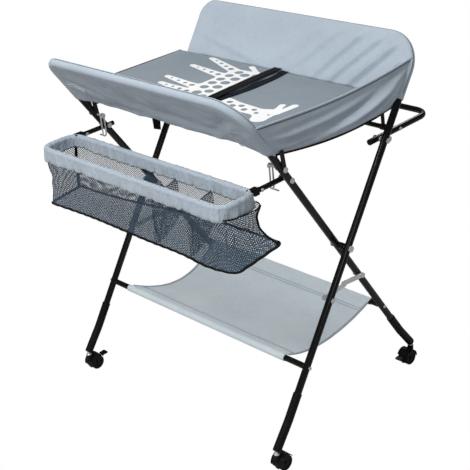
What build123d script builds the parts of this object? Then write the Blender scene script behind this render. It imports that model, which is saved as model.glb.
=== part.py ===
# Folding nursery changing table: two crossed hoop frames on casters, a padded bed, a mesh
# basket in front, a towel rack behind and a cloth shelf below.
# Millimetres. +X runs along the bed, +Y to the back, +Z up. The origin is on the floor
# under the middle of the table.
from build123d import *
from math import atan2, cos, degrees, hypot, radians, sin, tan
import os

# --- driving dimensions -----------------------------------------------------------------
PIVOT_Z = 516.0  # height of the bolts where the two frames cross
LEAN = 33.9  # how far each leg leans from upright, degrees
INNER_X = 348.0  # half spacing of the inner frame's legs
OUTER_X = 385.0  # half spacing of the outer frame's legs
TOP_S = 559.0  # from pivot to top rail, along the leg
SPLICE_S = 81.0  # from pivot to the splice of upper and lower tube
LEG_END_S = -458.0  # lower end of the leg tube inside its sleeve
SLEEVE_TOP_S = -393.0  # upper end of the foot sleeve
SHELF_S = -322.0  # shelf rail
RAIL_R = 8.0
KINK_S = -468.0  # where the foot sleeve bends
FOOT_Z = 62.0  # lower end of the foot sleeve
FOOT_KINK = 4.0  # extra outward bend of the sleeve, degrees
TUBE_R = 9.5
TUBE_WALL = 1.2
CORNER_R = 85.0
SLEEVE_R = 11.5
SLIDE_GAP = 0.3  # sleeve bore over leg tube
PIN_R = 3.0  # rivets
BOLT_R = 4.0  # main pivot bolts
RUN_GAP = 0.06  # radial running clearance of a pin in its hole
HEAD_R = 7.0
HEAD_H = 3.0
HEAD_GAP = 0.4  # under a rivet's head
STUD_R = 2.5
STUD_HEAD_R = 4.5
STUD_HEAD_H = 1.8

BED_HINGE_S = 335.0  # rivet on the inner leg that carries the bed
RING_Z = 830.0
RING_R = 7.0
RING_WALL = 1.2
RING_X = 327.0
RING_FRONT_Y = -165.0
RING_BACK_Y = 228.0
RING_CORNER_R = 20.0
CROSSBAR_Y = (-70.0, 90.0)
CROSSBAR_R = 6.0
BOARD_Z = 837.4
BOARD_T = 6.0
BOARD_X = 316.0
BOARD_FRONT_Y = -170.0
PAD_Z = 844.0
PAD_TOP_Z = 860.0
PAD_X = 334.0
PAD_FRONT_Y = -203.0
PAD_BACK_Y = 204.0
PAD_EDGE_R = 6.0
PAD_LEFT_X = -408.0  # left edge of the soft overhang
OVERHANG_Z = 847.3
OVERHANG_T = 11.7
OVERHANG_GAP = 0.5
GROOVE_DEPTH = 1.4  # the straps press this far into the pad
STRAP_T = 1.5
STRAPS = {  # low x, high x, front end y
    "safety_belt": (-13.0, 12.0, -197.0),
    "loose_strap": (16.0, 36.0, -60.0),
}
STRAP_BACK_Y = 200.0
PULL_STRAP_X = -252.0
PULL_STRAP_Y = -50.0
PULL_STRAP_W = 20.0
PULL_STRAP_T = 2.0
PULL_STRAP_END_Z = 718.0
HANGER_RISE = 46.0  # top pin of a hanger above the bed rivet
HANGER_W = 13.0
HANGER_T = 2.0
HANGER_X = (335.3, 359.2)  # inner faces of the two plates, either side of the leg
HANGER_TAB_Y = -130.0  # rear end of the tab welded along the ring
LATCH_Y = 233.0
ARM_Z = 756.5  # height of rack arms and basket arms
LATCH_X = 354.0
LATCH_R = 6.5
LATCH_LINK_X = 325.0
LATCH_LINK_T = 3.0

PANEL_T = 24.0
PANEL_OVER = 14.0  # cloth outside the hoop's centre line, at the sides
FRONT_PANEL_S = 385.0
BACK_PANEL_S = 412.0
PANEL_TOP_S = 571.0
END_WALL_X = 362.5
END_WALL_T = 8.0
END_WALL_OUTLINE = ((-216, 848), (206, 848), (262, 938), (-262, 925))
SHELF_SAG = 38.0
SHELF_T = 3.0
SHELF_X = 312.0
SHELF_INSET = 9.0  # from the rail's centre to the edge of the slung part

RACK_X = 363.0
RACK_R = 8.0
RACK_BACK_Y = 383.0
RACK_INNER_Y = 130.0
RACK_CORNER_R = 40.0
RACK_STUD_Y = 247.0
RACK_LATCH_TIP = (198.0, 744.0)  # y, z of the free end of the latch plate
RACK_LATCH_X = 372.0
RACK_LATCH_W = 15.0

BASKET_ARM_X = 329.0
BASKET_ARM_R = 6.5
BASKET_ARM_WALL = 1.2
BASKET_STUD_Y = -241.0
ARM_REAR_Y = -143.0
RIM_X = 340.0
RIM_FRONT_Y = -380.0
RIM_BACK_Y = -270.0
RIM_Z = 758.0
RIM_R = 6.0
RIM_CORNER_R = 32.0
BAG_BOTTOM_Z = 603.0
BAG_WALL = 2.0
DIVIDER_X = (80.0, 205.0)
DIVIDER_T = 1.6
DIVIDER_DROP = 22.0  # top of a divider below the top of the bag
BAIL_X = 316.0
BAIL_W = 14.0
BAIL_WIRE_R = 1.5
SADDLE_Z = 740.0
SADDLE_X = 337.0

BRACE_REAR_S = -148.2  # rivet on the inner leg, from the pivot
BRACE_FRONT_S = -139.8  # rivet on the outer leg, from the pivot
BRACE_RISE = 6.0  # the middle rivet stands this far above the straight line
BRACE_W = 14.0
BRACE_T = 2.0

WHEEL_R = 21.5
WHEEL_W = 12.0
WEB_T = 8.0
TRAIL = 18.0  # from swivel axis to wheel axle
HOOD_R = 25.0
HOOD_W = 36.0
AXLE_R = 3.0
STEM_R = 4.0
LINK_PLANES = {"rear": 361.0, "front": 367.5}  # inner faces of the brace links

SIN_LEAN = sin(radians(LEAN))
COS_LEAN = cos(radians(LEAN))
SIDES = {"left": -1, "right": 1}
BACKWARD = 1  # the outer frame leans back at the top
FORWARD = -1  # the inner frame leans forward at the top

os.makedirs("parts", exist_ok=True)


def save(shape, name):
    """Labels one finished piece and writes its STEP file."""
    shape.label = name
    export_step(shape, f"parts/{name}.step")


def on_leg(lean, s):
    """The y and z of a point on a leg's centre line, s from the pivot."""
    return lean * s * SIN_LEAN, PIVOT_Z + s * COS_LEAN


def s_at(z):
    """Distance along a leg from the pivot to height z."""
    return (z - PIVOT_Z) / COS_LEAN


def hoop_plane(lean):
    """The plane of a hoop: local x along the table, local y up the leg."""
    return Plane(origin=(0, 0, PIVOT_Z), x_dir=(1, 0, 0), z_dir=(0, -COS_LEAN, lean * SIN_LEAN))


def cross_holes(spots, radius, length=60.0):
    """Drills round holes along X at the given points of the part being built."""
    with Locations(*spots):
        Cylinder(radius, length, rotation=(0, 90, 0), mode=Mode.SUBTRACT)


def leg_spots(half_width, lean, stations):
    """Points on both legs of a frame at the given distances from the pivot."""
    return [(side * half_width, *on_leg(lean, s)) for side in SIDES.values() for s in stations]


def round_bar(start, end, radius, bore=0.0):
    """A straight round bar or tube between two points, made in the current part."""
    axis = Vector(*end) - Vector(*start)
    with BuildSketch(Plane(origin=start, z_dir=axis)) as section:
        Circle(radius)
        if bore > 0:
            Circle(bore, mode=Mode.SUBTRACT)
    extrude(section.sketch, amount=axis.length)


# --- frames -----------------------------------------------------------------------------
HINGE_Y, HINGE_Z = on_leg(FORWARD, BED_HINGE_S)
ARM_S = s_at(ARM_Z)
ARM_PIVOT_Y, _ = on_leg(FORWARD, ARM_S)
RACK_PIVOT_Y, _ = on_leg(BACKWARD, ARM_S)
BRACE_REAR = on_leg(FORWARD, BRACE_REAR_S)
BRACE_FRONT = on_leg(BACKWARD, BRACE_FRONT_S)
FRAMES = {
    "inner": (INNER_X, FORWARD, (BED_HINGE_S, ARM_S), BRACE_REAR_S),
    "outer": (OUTER_X, BACKWARD, (ARM_S,), BRACE_FRONT_S),
}

for name, (half_width, lean, rivets, brace_s) in FRAMES.items():
    plane = hoop_plane(lean)
    with BuildPart() as hoop:
        with BuildLine(plane) as hoop_line:
            FilletPolyline(
                (-half_width, SPLICE_S),
                (-half_width, TOP_S),
                (half_width, TOP_S),
                (half_width, SPLICE_S),
                radius=CORNER_R,
            )
        with BuildSketch(Plane(origin=hoop_line.line @ 0, z_dir=hoop_line.line % 0)):
            Circle(TUBE_R)
            Circle(TUBE_R - TUBE_WALL, mode=Mode.SUBTRACT)
        sweep()
        cross_holes(leg_spots(half_width, lean, rivets), PIN_R + RUN_GAP)
    save(hoop.part, f"{name}_hoop")

    with BuildPart() as lower_legs:
        for side in SIDES.values():
            x = side * half_width
            round_bar((x, *on_leg(lean, LEG_END_S)), (x, *on_leg(lean, SPLICE_S - 0.3)), TUBE_R,
                      TUBE_R - TUBE_WALL)
            # the swaged spigot that plugs into the hoop
            round_bar((x, *on_leg(lean, SPLICE_S - 30)), (x, *on_leg(lean, SPLICE_S + 28)),
                      TUBE_R - TUBE_WALL - 0.05, TUBE_R - 2.5)
            round_bar((x, *on_leg(lean, SPLICE_S - 30)), (x, *on_leg(lean, SPLICE_S - 24)),
                      TUBE_R - 1.0, TUBE_R - 2.5)
        cross_holes(leg_spots(half_width, lean, (0.0,)), BOLT_R + RUN_GAP)
        cross_holes(leg_spots(half_width, lean, (brace_s, SHELF_S)), PIN_R + RUN_GAP)
    save(lower_legs.part, f"{name}_lower_legs")

    with BuildPart() as shelf_rail:
        rail_y, rail_z = on_leg(lean, SHELF_S)
        reach = half_width - TUBE_R - 0.2
        round_bar((-reach, rail_y, rail_z), (reach, rail_y, rail_z), RAIL_R, RAIL_R - 1.1)
    save(shelf_rail.part, f"{name}_shelf_rail")

# main pivot: bolt, spacer between the frames and a domed nut on each side of the table
with BuildPart() as pivot_bolts:
    for side in SIDES.values():
        inside = side * (INNER_X - TUBE_R - 0.3)
        outside = side * (OUTER_X + TUBE_R + 0.3)
        round_bar((inside, 0, PIVOT_Z), (outside, 0, PIVOT_Z), BOLT_R)
        round_bar((inside, 0, PIVOT_Z), (inside - side * 4, 0, PIVOT_Z), 8.5)
        round_bar((outside, 0, PIVOT_Z), (outside + side * 4, 0, PIVOT_Z), 8.5)
save(pivot_bolts.part, "pivot_bolts")

with BuildPart() as pivot_spacers:
    for side in SIDES.values():
        round_bar((side * (INNER_X + TUBE_R + 0.3), 0, PIVOT_Z),
                  (side * (OUTER_X - TUBE_R - 0.3), 0, PIVOT_Z), 9.0, BOLT_R + 0.05)
save(pivot_spacers.part, "pivot_spacers")


# --- feet and casters ---------------------------------------------------------------------
KINK_Y, KINK_Z = on_leg(FORWARD, KINK_S)
FOOT_Y = KINK_Y + (KINK_Z - FOOT_Z) * tan(radians(LEAN + FOOT_KINK))
FEET = {
    "front_left": (-OUTER_X, BACKWARD, -1),
    "front_right": (OUTER_X, BACKWARD, -1),
    "rear_left": (-INNER_X, FORWARD, 1),
    "rear_right": (INNER_X, FORWARD, 1),
}
BRAKED = ("front_left", "rear_right")

for name, (x, lean, way) in FEET.items():
    top = (x, *on_leg(lean, SLEEVE_TOP_S))
    kink = (x, *on_leg(lean, KINK_S))
    end = (x, way * FOOT_Y, FOOT_Z)
    with BuildPart() as sleeve:
        with BuildLine() as sleeve_line:
            FilletPolyline(top, kink, end, radius=120)
        with BuildSketch(Plane(origin=sleeve_line.line @ 0, z_dir=sleeve_line.line % 0)):
            Circle(SLEEVE_R)
        sweep()
        fillet(sleeve.edges().group_by(Axis.Z)[0], 3)
        along = (Vector(*kink) - Vector(*top)).normalized()
        with BuildSketch(Plane(origin=top, z_dir=along)):
            Circle(TUBE_R + SLIDE_GAP)
        extrude(amount=SLEEVE_TOP_S - LEG_END_S + 1, mode=Mode.SUBTRACT)
    save(sleeve.part, f"foot_sleeve_{name}")

    # the stem is pressed into the foot, and the caster swivels on its lower end
    with BuildPart() as stem:
        round_bar((x, way * FOOT_Y, 40), (x, way * FOOT_Y, FOOT_Z + 6), STEM_R)
        round_bar((x, way * FOOT_Y, 52.5), (x, way * FOOT_Y, 57), 7.5)
        chamfer(stem.edges().filter_by(GeomType.CIRCLE).group_by(SortBy.RADIUS)[-1], 0.8)
    save(stem.part, f"caster_stem_{name}")

    # the wheels trail towards the middle of the table
    caster = Plane(origin=(x, way * FOOT_Y, 0), x_dir=(-way, 0, 0), z_dir=(0, 0, 1))
    axle = (0, TRAIL, WHEEL_R)
    with BuildPart(caster) as hood:
        with Locations(axle):
            Cylinder(HOOD_R, HOOD_W, rotation=(0, 90, 0))
            Cylinder(HOOD_R - 2.0, HOOD_W, rotation=(0, 90, 0), mode=Mode.SUBTRACT)
        with Locations((0, TRAIL, WHEEL_R - 2 - HOOD_R)):
            Box(HOOD_W + 2, 4 * HOOD_R, 2 * HOOD_R, mode=Mode.SUBTRACT)
        with Locations((0, TRAIL + 22, WHEEL_R)):
            Box(HOOD_W + 2, 16, 24, mode=Mode.SUBTRACT)
        with Locations(axle):
            Cylinder(HOOD_R - 1.0, WEB_T, rotation=(0, 90, 0))
        with Locations((0, TRAIL, WHEEL_R - 14 - HOOD_R)):
            Box(HOOD_W + 2, 4 * HOOD_R, 2 * HOOD_R, mode=Mode.SUBTRACT)
        with Locations((0, 0, 44.5)):
            Cylinder(8.5, 15)
        with Locations((0, 7, 41)):
            Box(15, 13, 8)
        with Locations((0, TRAIL, WHEEL_R)):
            Cylinder(AXLE_R + RUN_GAP, HOOD_W, rotation=(0, 90, 0), mode=Mode.SUBTRACT)
        with Locations((0, 0, 47)):
            Cylinder(STEM_R + RUN_GAP, 15, mode=Mode.SUBTRACT)
        for cut in (-1, 1):
            with Locations((cut * (WEB_T / 2 + 0.3 + WHEEL_W / 2 + 0.3), TRAIL, WHEEL_R)):
                Cylinder(WHEEL_R + 1.2, WHEEL_W + 0.6, rotation=(0, 90, 0), mode=Mode.SUBTRACT)
    save(hood.part, f"caster_hood_{name}")

    with BuildPart(caster) as wheels:
        for wheel_side in (-1, 1):
            with Locations((wheel_side * (WEB_T / 2 + 0.6 + WHEEL_W / 2), TRAIL, WHEEL_R)):
                Cylinder(WHEEL_R, WHEEL_W, rotation=(0, 90, 0))
        fillet(wheels.edges().filter_by(GeomType.CIRCLE), 1.6)
        with Locations(axle):
            Cylinder(AXLE_R, WEB_T + 2 * WHEEL_W - 4, rotation=(0, 90, 0))
        for wheel_side in (-1, 1):
            with Locations((wheel_side * (WEB_T / 2 + 0.6 + WHEEL_W), TRAIL, WHEEL_R)):
                Cylinder(14, 3, rotation=(0, 90, 0), mode=Mode.SUBTRACT)
                Cylinder(5, 5, rotation=(0, 90, 0))
    save(wheels.part, f"caster_wheels_{name}")

    if name in BRAKED:
        with BuildPart(caster) as lever:
            with Locations((0, TRAIL + 28, WHEEL_R + 11)):
                Cylinder(3, 16, rotation=(0, 90, 0))
            with BuildSketch(caster.offset(WHEEL_R + 9.5)):
                with Locations((0, TRAIL + 37)):
                    RectangleRounded(20, 17, 4)
            extrude(amount=3)
        save(lever.part, f"brake_lever_{name}")


# --- folding braces -------------------------------------------------------------------------
MID_Y = (BRACE_REAR[0] + BRACE_FRONT[0]) / 2
MID_Z = (BRACE_REAR[1] + BRACE_FRONT[1]) / 2 + BRACE_RISE


def flat_link(x, start, end, width, thickness, hole=0.0):
    """A round-ended flat bar between two y, z points; its lower-x face is at x."""
    span = hypot(end[0] - start[0], end[1] - start[1])
    tilt = degrees(atan2(end[1] - start[1], end[0] - start[0]))
    middle = ((start[0] + end[0]) / 2, (start[1] + end[1]) / 2, 0)
    with BuildSketch(Plane(origin=(x, 0, 0), x_dir=(0, 1, 0), z_dir=(1, 0, 0))) as outline:
        with Locations(Location(middle, tilt)):
            SlotCenterToCenter(span, width)
        if hole > 0:
            with Locations(start):
                Circle(hole, mode=Mode.SUBTRACT)
    extrude(outline.sketch, amount=thickness)


def low_face(side, near, thickness):
    """The lower-x face of a plate whose inner face is at distance near from the middle."""
    return near if side > 0 else -near - thickness


for end_name, rivet in {"rear": BRACE_REAR, "front": BRACE_FRONT}.items():
    for side_name, side in SIDES.items():
        near = LINK_PLANES[end_name]
        with BuildPart() as link:
            flat_link(low_face(side, near, BRACE_T), rivet, (MID_Y, MID_Z), BRACE_W, BRACE_T,
                      PIN_R + RUN_GAP)
            if end_name == "rear":
                # the middle rivet's shank stops short of the other link
                round_bar((side * near, MID_Y, MID_Z), (side * (near + BRACE_T + 2.5), MID_Y, MID_Z),
                          3.5)
        save(link.part, f"brace_{end_name}_{side_name}")


def rivet_group(pins, radius=PIN_R, head_r=HEAD_R, head_h=HEAD_H):
    """Headed pins along X, given as (x inside, x outside, y, z), in the current part."""
    for x_in, x_out, y, z in pins:
        way = 1 if x_out > x_in else -1
        round_bar((x_in, y, z), (x_out, y, z), radius)
        round_bar((x_in - way * head_h, y, z), (x_in, y, z), head_r)
        round_bar((x_out, y, z), (x_out + way * head_h, y, z), head_r)


def rail_screw(side, half_width, lean):
    """A headed screw from outside a leg into the open end of its shelf rail."""
    spot = on_leg(lean, SHELF_S)
    outside = side * (half_width + TUBE_R + HEAD_GAP)
    round_bar((side * (half_width - TUBE_R - 12), *spot), (outside, *spot), PIN_R)
    round_bar((outside, *spot), (outside + side * HEAD_H, *spot), STUD_HEAD_R)


with BuildPart() as inner_rivets:
    for side in SIDES.values():
        rivet_group([
            (side * (INNER_X - TUBE_R - HEAD_GAP), side * (LINK_PLANES["rear"] + 2.4),
             *BRACE_REAR),
            (side * (BAIL_X - 3.0), side * (HANGER_X[1] + HANGER_T + 1.0), HINGE_Y, HINGE_Z),
            (side * (BASKET_ARM_X - BASKET_ARM_R - 0.3), side * (INNER_X + TUBE_R + HEAD_GAP),
             ARM_PIVOT_Y, ARM_Z),
        ])
        rail_screw(side, INNER_X, FORWARD)
save(inner_rivets.part, "inner_rivets")

with BuildPart() as outer_rivets:
    for side in SIDES.values():
        rivet_group([
            (side * (LINK_PLANES["front"] - 0.4), side * (OUTER_X + TUBE_R + HEAD_GAP),
             *BRACE_FRONT),
            (side * (RACK_X - RACK_R - HEAD_GAP), side * (OUTER_X + TUBE_R + HEAD_GAP),
             RACK_PIVOT_Y, ARM_Z),
        ])
        rail_screw(side, OUTER_X, BACKWARD)
save(outer_rivets.part, "outer_rivets")


# --- bed ------------------------------------------------------------------------------------
with BuildPart() as bed_ring:
    with BuildLine(Plane.XY.offset(RING_Z)) as ring_line:
        FilletPolyline(
            (RING_X, RING_FRONT_Y),
            (RING_X, RING_BACK_Y),
            (-RING_X, RING_BACK_Y),
            (-RING_X, RING_FRONT_Y),
            radius=RING_CORNER_R,
            close=True,
        )
    with BuildSketch(Plane(origin=ring_line.line @ 0, z_dir=ring_line.line % 0)):
        Circle(RING_R)
        Circle(RING_R - RING_WALL, mode=Mode.SUBTRACT)
    sweep()
save(bed_ring.part, "bed_ring")

with BuildPart() as bed_crossbars:
    reach = RING_X - RING_R + 1.0
    for y in CROSSBAR_Y:
        round_bar((-reach, y, RING_Z), (reach, y, RING_Z), CROSSBAR_R, CROSSBAR_R - 1.0)
save(bed_crossbars.part, "bed_crossbars")

with BuildPart() as bed_board:
    with BuildSketch(Plane.XY.offset(BOARD_Z)):
        with Locations((0, (BOARD_FRONT_Y + PAD_BACK_Y) / 2)):
            RectangleRounded(2 * BOARD_X, PAD_BACK_Y - BOARD_FRONT_Y, 18)
    extrude(amount=BOARD_T)
save(bed_board.part, "bed_board")

with BuildPart() as mattress:
    with BuildSketch(Plane.XY.offset(PAD_Z)):
        with Locations((0, (PAD_FRONT_Y + PAD_BACK_Y) / 2)):
            Rectangle(2 * PAD_X, PAD_BACK_Y - PAD_FRONT_Y)
    extrude(amount=PAD_TOP_Z - PAD_Z)
    fillet(mattress.edges().filter_by(Axis.X), PAD_EDGE_R)
    # shallow grooves where the straps press in
    for x_low, x_high, y_low in STRAPS.values():
        with Locations(((x_low + x_high) / 2, (y_low + PAD_BACK_Y) / 2, PAD_TOP_Z)):
            Box(x_high - x_low + 2, PAD_BACK_Y - y_low + 20, 2 * GROOVE_DEPTH, mode=Mode.SUBTRACT)
save(mattress.part, "mattress")

with BuildPart() as mattress_end:
    with BuildSketch(Plane.XY.offset(OVERHANG_Z)):
        with Locations(((PAD_LEFT_X - PAD_X - OVERHANG_GAP) / 2, (PAD_FRONT_Y + PAD_BACK_Y) / 2)):
            Rectangle(-PAD_LEFT_X - PAD_X - OVERHANG_GAP, PAD_BACK_Y - PAD_FRONT_Y - 8)
    extrude(amount=OVERHANG_T)
    fillet(mattress_end.edges().filter_by(Axis.Y), 5)
save(mattress_end.part, "mattress_end")

# each hanger straddles the inner leg: a plate on either side joined by a pin above the tube
HANGER_TOP = (HINGE_Y - 6.5, HINGE_Z + HANGER_RISE)
with BuildPart() as bed_hangers:
    for side in SIDES.values():
        for near in HANGER_X:
            flat_link(low_face(side, near, HANGER_T), (HINGE_Y, HINGE_Z), HANGER_TOP, HANGER_W,
                      HANGER_T, PIN_R + RUN_GAP)
        round_bar((side * HANGER_X[0], *HANGER_TOP), (side * (HANGER_X[1] + HANGER_T), *HANGER_TOP),
                  PIN_R)
        # a tab from the inner plate back along the ring's side bar
        tab_x = RING_X + RING_R
        flat_link(low_face(side, tab_x, HANGER_X[0] + 0.1 - tab_x), (HANGER_TOP[0], RING_Z),
                  (HANGER_TAB_Y, RING_Z), HANGER_W, HANGER_X[0] + 0.1 - tab_x)
save(bed_hangers.part, "bed_hangers")

with BuildPart() as latch_rail:
    round_bar((-LATCH_X, LATCH_Y, ARM_Z), (LATCH_X, LATCH_Y, ARM_Z), LATCH_R, LATCH_R - 1.2)
save(latch_rail.part, "latch_rail")

with BuildPart() as latch_links:
    for side in SIDES.values():
        flat_link(low_face(side, LATCH_LINK_X, LATCH_LINK_T), (LATCH_Y, ARM_Z),
                  (RING_BACK_Y - 2, RING_Z), 12.0, LATCH_LINK_T)
        with Locations((side * (LATCH_LINK_X + LATCH_LINK_T / 2), LATCH_Y, ARM_Z)):
            Cylinder(LATCH_R + 2.0, 14, rotation=(0, 90, 0))
            Cylinder(LATCH_R + 0.05, 20, rotation=(0, 90, 0), mode=Mode.SUBTRACT)
save(latch_links.part, "latch_links")

# webbing over the mattress
for name, (x_low, x_high, y_low) in STRAPS.items():
    with BuildPart() as strap:
        with BuildSketch(Plane.XY.offset(PAD_TOP_Z - GROOVE_DEPTH + 0.1)):
            with Locations(((x_low + x_high) / 2, (y_low + STRAP_BACK_Y) / 2)):
                Rectangle(x_high - x_low, STRAP_BACK_Y - y_low)
        extrude(amount=STRAP_T)
    save(strap.part, name)

with BuildPart() as pull_strap:
    pull_top = BOARD_Z - 0.4
    with Locations((PULL_STRAP_X, PULL_STRAP_Y, (PULL_STRAP_END_Z + pull_top) / 2)):
        Box(PULL_STRAP_W, PULL_STRAP_T, pull_top - PULL_STRAP_END_Z)
save(pull_strap.part, "pull_strap")


# --- cloth panels -----------------------------------------------------------------------------
for name, (lean, low_s, tube_x) in {
    "front_panel": (FORWARD, FRONT_PANEL_S, INNER_X),
    "back_panel": (BACKWARD, BACK_PANEL_S, OUTER_X),
}.items():
    with BuildPart() as panel:
        with BuildSketch(hoop_plane(lean).offset(-PANEL_T / 2)):
            with Locations((0, (low_s + PANEL_TOP_S) / 2)):
                Rectangle(2 * (tube_x + PANEL_OVER), PANEL_TOP_S - low_s)
        extrude(amount=PANEL_T)
        through = Axis((0, 0, 0), hoop_plane(lean).z_dir)
        fillet(panel.edges().filter_by(through).group_by(Axis.Z)[-1], CORNER_R + 8)
        # channel for the hoop's tube
        with BuildLine(hoop_plane(lean)) as channel_line:
            FilletPolyline(
                (-tube_x, low_s - 5),
                (-tube_x, TOP_S),
                (tube_x, TOP_S),
                (tube_x, low_s - 5),
                radius=CORNER_R,
            )
        with BuildSketch(Plane(origin=channel_line.line @ 0, z_dir=channel_line.line % 0)):
            Circle(TUBE_R + 0.3)
        sweep(mode=Mode.SUBTRACT)
    save(panel.part, name)

# end wall between the two frames at the right-hand end of the bed
with BuildPart() as end_wall:
    with BuildSketch(Plane(origin=(END_WALL_X, 0, 0), x_dir=(0, 1, 0), z_dir=(1, 0, 0))):
        Polygon(*END_WALL_OUTLINE, align=None)
    extrude(amount=END_WALL_T)
save(end_wall.part, "end_wall")

# shelf cloth: a shallow sling between the two rails
with BuildPart() as shelf_cloth:
    rail_y, rail_z = on_leg(FORWARD, SHELF_S)
    edge = rail_y - SHELF_INSET
    with BuildSketch(Plane(origin=(-SHELF_X, 0, 0), x_dir=(0, 1, 0), z_dir=(1, 0, 0))):
        with BuildLine():
            low = ThreePointArc((-edge, rail_z - 2), (0, rail_z - SHELF_SAG), (edge, rail_z - 2))
            high = ThreePointArc((-edge, rail_z - 2 + SHELF_T), (0, rail_z - SHELF_SAG + SHELF_T),
                                 (edge, rail_z - 2 + SHELF_T))
            Line(low @ 0, high @ 0)
            Line(low @ 1, high @ 1)
        make_face()
    extrude(amount=2 * SHELF_X)
save(shelf_cloth.part, "shelf_cloth")


# --- basket -------------------------------------------------------------------------------------
RIM_MID_Y = (RIM_FRONT_Y + RIM_BACK_Y) / 2
RIM_DEPTH = RIM_BACK_Y - RIM_FRONT_Y
with BuildPart() as basket_rim:
    with BuildLine(Plane.XY.offset(RIM_Z)) as rim_line:
        FilletPolyline(
            (RIM_X, RIM_FRONT_Y),
            (RIM_X, RIM_BACK_Y),
            (-RIM_X, RIM_BACK_Y),
            (-RIM_X, RIM_FRONT_Y),
            radius=RIM_CORNER_R,
            close=True,
        )
    with BuildSketch(Plane(origin=rim_line.line @ 0, z_dir=rim_line.line % 0)):
        Circle(RIM_R)
        Circle(RIM_R - 1.0, mode=Mode.SUBTRACT)
    sweep()
save(basket_rim.part, "basket_rim")

with BuildPart() as basket_arms:
    for side in SIDES.values():
        x = side * BASKET_ARM_X
        round_bar((x, ARM_REAR_Y, ARM_Z), (x, RIM_BACK_Y + RIM_R + 2.5, ARM_Z), BASKET_ARM_R,
                  BASKET_ARM_R - BASKET_ARM_WALL)
    cross_holes([(side * BASKET_ARM_X, ARM_PIVOT_Y, ARM_Z) for side in SIDES.values()],
                PIN_R + RUN_GAP, 20)
    cross_holes([(side * BASKET_ARM_X, BASKET_STUD_Y, ARM_Z) for side in SIDES.values()],
                STUD_R + RUN_GAP, 20)
save(basket_arms.part, "basket_arms")

with BuildPart() as basket_studs:
    rivet_group([
        (side * (BASKET_ARM_X - BASKET_ARM_R - 0.2), side * (BASKET_ARM_X + BASKET_ARM_R + 0.2),
         BASKET_STUD_Y, ARM_Z) for side in SIDES.values()
    ], STUD_R, STUD_HEAD_R, STUD_HEAD_H)
save(basket_studs.part, "basket_studs")

# moulded blocks that clamp the arms to the rim
with BuildPart() as basket_brackets:
    for side in SIDES.values():
        with Locations((side * (BASKET_ARM_X - 1), RIM_BACK_Y + 5, RIM_Z - 1)):
            Box(18, 30, 18)
    fillet(basket_brackets.edges(), 2)
    # clear of the bag that hangs below the rim
    with Locations((0, RIM_BACK_Y - 16, RIM_Z - 16.2)):
        Box(2 * RIM_X, 41, 20, mode=Mode.SUBTRACT)
    for side in SIDES.values():
        with Locations((side * BASKET_ARM_X, RIM_BACK_Y + 18.5, ARM_Z)):
            Cylinder(BASKET_ARM_R + 0.05, 20, rotation=(90, 0, 0), mode=Mode.SUBTRACT)
    with BuildLine(Plane.XY.offset(RIM_Z)) as clamp_line:
        FilletPolyline(
            (-RIM_X, RIM_FRONT_Y),
            (-RIM_X, RIM_BACK_Y),
            (RIM_X, RIM_BACK_Y),
            (RIM_X, RIM_FRONT_Y),
            radius=RIM_CORNER_R,
        )
    with BuildSketch(Plane(origin=clamp_line.line @ 0, z_dir=clamp_line.line % 0)):
        Circle(RIM_R + 0.05)
    sweep(mode=Mode.SUBTRACT)
save(basket_brackets.part, "basket_brackets")

BAG_TOP_Z = RIM_Z - RIM_R - 0.6
BAG_X = RIM_X + 4.0
BAG_DEPTH = RIM_DEPTH + 8.0
with BuildPart() as basket_bag:
    with BuildSketch(Plane.XY.offset(BAG_BOTTOM_Z)):
        with Locations((0, RIM_MID_Y)):
            RectangleRounded(2 * BAG_X, BAG_DEPTH, 30)
    extrude(amount=BAG_TOP_Z - BAG_BOTTOM_Z)
    with BuildSketch(Plane.XY.offset(BAG_BOTTOM_Z + BAG_WALL)):
        with Locations((0, RIM_MID_Y)):
            RectangleRounded(2 * (BAG_X - BAG_WALL), BAG_DEPTH - 2 * BAG_WALL, 28)
    extrude(amount=BAG_TOP_Z - BAG_BOTTOM_Z, mode=Mode.SUBTRACT)
save(basket_bag.part, "basket_bag")

with BuildPart() as basket_dividers:
    divider_h = BAG_TOP_Z - BAG_BOTTOM_Z - BAG_WALL - DIVIDER_DROP
    for x in DIVIDER_X:
        with Locations((x, RIM_MID_Y, BAG_BOTTOM_Z + BAG_WALL + 0.3 + divider_h / 2)):
            Box(DIVIDER_T, BAG_DEPTH - 2 * BAG_WALL - 0.6, divider_h)
save(basket_dividers.part, "basket_dividers")

# wire bails hang from the bed rivets and carry a saddle under each basket arm
for side_name, side in SIDES.items():
    with BuildPart() as bail:
        with BuildSketch(Plane(origin=(side * BAIL_X, 0, 0), x_dir=(0, 1, 0), z_dir=(1, 0, 0))):
            with Locations(Location((HINGE_Y, (HINGE_Z + SADDLE_Z) / 2, 0), 90)):
                SlotCenterToCenter(HINGE_Z - SADDLE_Z, BAIL_W)
                SlotCenterToCenter(HINGE_Z - SADDLE_Z, BAIL_W - 4 * BAIL_WIRE_R, mode=Mode.SUBTRACT)
        extrude(amount=BAIL_WIRE_R, both=True)
        saddle = (HINGE_Y, SADDLE_Z - BAIL_W / 2 + BAIL_WIRE_R)
        round_bar((side * BAIL_X, *saddle), (side * SADDLE_X, *saddle), 2.0)
    save(bail.part, f"basket_bail_{side_name}")


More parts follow.
